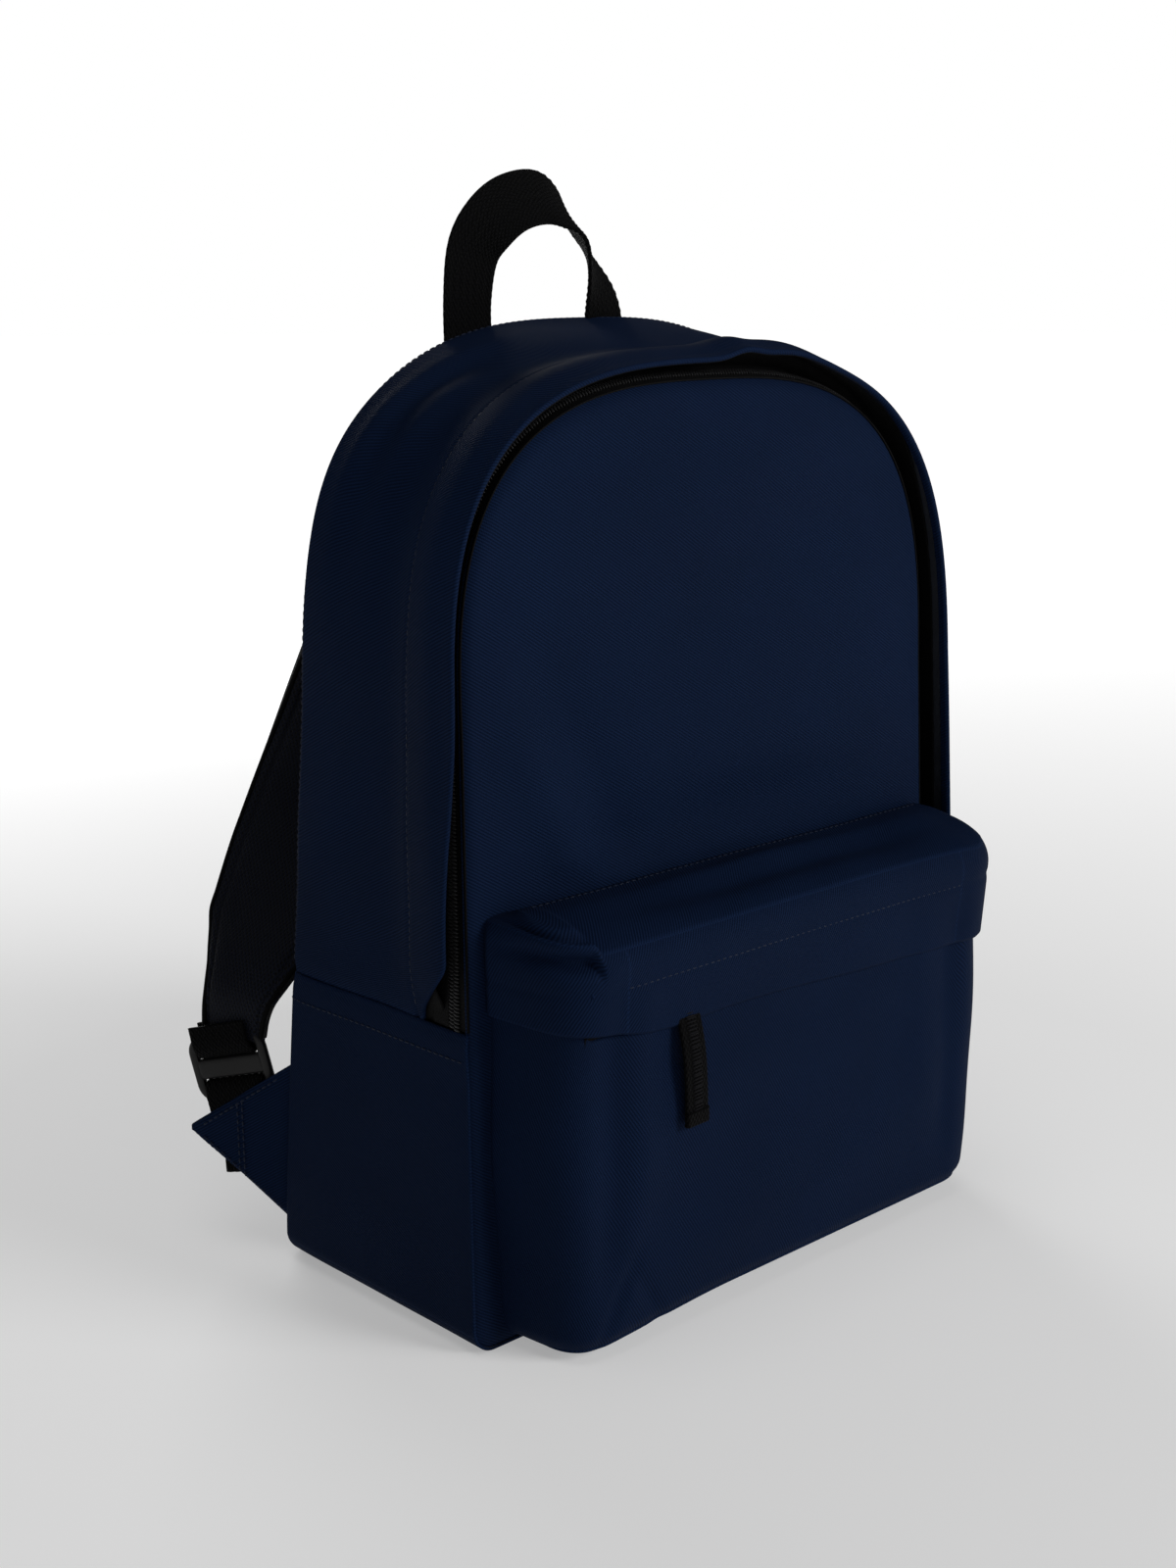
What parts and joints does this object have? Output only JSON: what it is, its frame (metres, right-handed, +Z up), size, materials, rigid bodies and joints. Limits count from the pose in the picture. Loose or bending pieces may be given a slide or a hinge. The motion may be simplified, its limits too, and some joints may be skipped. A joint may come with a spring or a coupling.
{
  "type": "school backpack",
  "caption": "Child's school backpack with an arched zipped front, a zipped front pocket under a flap, a haul handle and padded shoulder straps with ladder locks.",
  "frame": {"origin": "middle of the main compartment's base, on the surface that the bag stands on", "axes": "+Z up, +Y towards the wearer's back and the shoulder straps, -Y the front with the pocket, +X the bag's right side seen from its front"},
  "size_m": [0.3284, 0.2313, 0.4585],
  "materials": {
    "navy": "polyester twill",
    "lining": "coated lining",
    "mesh": "spacer mesh",
    "foam": "closed-cell foam",
    "zip_tape": "woven tape",
    "zip_coil": "nylon coil",
    "slider_metal": "black enamel",
    "webbing": "woven webbing",
    "buckle": "moulded acetal"
  },
  "bodies": {
    "bag": {"bottom_panel": "navy", "left_side_panel": "navy", "right_side_panel": "navy", "zip_gusset": "navy", "front_panel_lower": "navy", "back_panel": "navy", "back_foam": "foam", "back_lining": "lining", "back_seam_binding": "zip_tape", "storm_flap": "navy", "main_zip_outer_tape": "zip_tape", "main_zip_outer_coil": "zip_coil", "main_zip_inner_tape_lower": "zip_tape", "main_zip_inner_coil_lower": "zip_coil", "pocket_body": "navy", "pocket_top_panel": "navy", "pocket_zip_lower_tape": "zip_tape", "pocket_zip_lower_coil": "zip_coil", "pocket_zip_upper_coil": "zip_coil", "pocket_zip_upper_tape": "zip_tape", "pocket_zip_stops": "zip_coil"},
    "front_opening": {"front_panel_upper": "navy", "main_zip_inner_tape_upper": "zip_tape", "main_zip_inner_coil_upper": "zip_coil"},
    "main_zip_slider": {"main_slider": "slider_metal"},
    "main_zip_puller": {"main_puller": "webbing"},
    "pocket_cover": {"pocket_flap": "navy"},
    "pocket_zip_slider": {"pocket_slider": "slider_metal"},
    "pocket_zip_puller": {"pocket_puller": "webbing"},
    "handle": {"haul_handle": "webbing"},
    "left_strap": {"left_strap_cover": "navy", "left_strap_foam": "foam", "left_strap_mesh": "mesh", "left_strap_tab": "navy", "left_ladder_lock": "buckle", "left_strap_webbing": "webbing", "left_lock_loop": "webbing"},
    "right_strap": {"right_strap_cover": "navy", "right_strap_foam": "foam", "right_strap_mesh": "mesh", "right_strap_tab": "navy", "right_ladder_lock": "buckle", "right_strap_webbing": "webbing", "right_lock_loop": "webbing"}
  },
  "joints": [
    {"name": "front_opening_hinge", "type": "hinge", "parent": "bag", "child": "front_opening", "pos_m": [0, -0.0575, 0.184], "axis": [1, 0, 0], "range_deg": [0, 95]},
    {"name": "main_zip_run", "type": "slide", "parent": "bag", "child": "main_zip_slider", "axis": [-0.024, 0.0279, 0.9993], "range_m": [0, 0.09]},
    {"name": "main_puller_swing", "type": "hinge", "parent": "main_zip_slider", "child": "main_zip_puller", "pos_m": [0.13969, -0.04976, 0.1521], "axis": [0.999, -0.0383, 0.025], "range_deg": [-15, 3]},
    {"name": "pocket_flap_lift", "type": "hinge", "parent": "bag", "child": "pocket_cover", "pos_m": [0, -0.1053, 0.1647], "axis": [-1, 0, 0], "range_deg": [0, 60]},
    {"name": "pocket_zip_run", "type": "slide", "parent": "bag", "child": "pocket_zip_slider", "axis": [1, 0, 0], "range_m": [-0.028, 0.148]},
    {"name": "pocket_puller_swing", "type": "hinge", "parent": "pocket_zip_slider", "child": "pocket_zip_puller", "pos_m": [-0.062, -0.1011, 0.14], "axis": [0, -1, 0], "range_deg": [-35, 35]},
    {"name": "haul_handle_fold", "type": "hinge", "parent": "bag", "child": "handle", "pos_m": [0, 0.0285, 0.3975], "axis": [1, 0, 0], "range_deg": [-72, 85]},
    {"name": "left_strap_swing", "type": "hinge", "parent": "bag", "child": "left_strap", "pos_m": [-0.1425, 0.0605, 0.05], "axis": [0.1795, -0.0802, 0.9805], "range_deg": [0, 30]},
    {"name": "right_strap_swing", "type": "hinge", "parent": "bag", "child": "right_strap", "pos_m": [0.1425, 0.0605, 0.05], "axis": [0.1795, 0.0802, -0.9805], "range_deg": [0, 30]}
  ]
}
